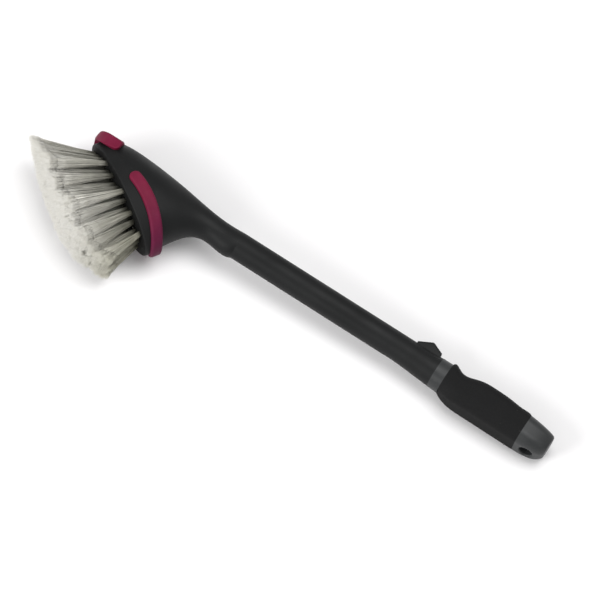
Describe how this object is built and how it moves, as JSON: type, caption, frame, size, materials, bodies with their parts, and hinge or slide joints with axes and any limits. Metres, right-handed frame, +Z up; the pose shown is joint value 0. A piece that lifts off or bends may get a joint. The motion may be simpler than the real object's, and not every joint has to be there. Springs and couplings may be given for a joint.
{
  "type": "wheel brush",
  "caption": "Long-reach hand brush for washing wheels: an angled oval bristle head with rubber bumpers, a straight rod, and a soft grip with a hanging hole.",
  "frame": {"origin": "under the middle of the bounding box, on the bench that the brush lies on", "axes": "+X along the handle towards the butt, +Y from the bristles towards the back of the head, +Z up, from the side that rests on the bench"},
  "size_m": [0.5132, 0.1084, 0.0686],
  "materials": {
    "handle_plastic": "satin",
    "block_plastic": "matte",
    "bumper_rubber": "satin",
    "grip_rubber": "matte",
    "trim_plastic": "gloss",
    "bristle": "matte",
    "anchor_wire": "satin",
    "screw_steel": "satin"
  },
  "bodies": {
    "root": {"handle_body": "handle_plastic", "bristle_block": "block_plastic", "side_bumper": "bumper_rubber", "toe_bumper": "bumper_rubber", "tuft_anchors": "anchor_wire", "block_screws": "screw_steel", "collar_ring": "trim_plastic", "grip_sleeve": "grip_rubber", "end_cap": "trim_plastic", "tuft_row_01": "bristle", "tuft_row_02": "bristle", "tuft_row_03": "bristle", "tuft_row_04": "bristle", "tuft_row_05": "bristle", "tuft_row_06": "bristle", "tuft_row_07": "bristle", "tuft_row_08": "bristle", "tuft_row_09": "bristle", "tuft_row_10": "bristle", "tuft_row_11": "bristle", "tuft_row_12": "bristle", "tuft_row_13": "bristle", "tuft_row_14": "bristle", "tuft_row_15": "bristle"}
  },
  "joints": []
}
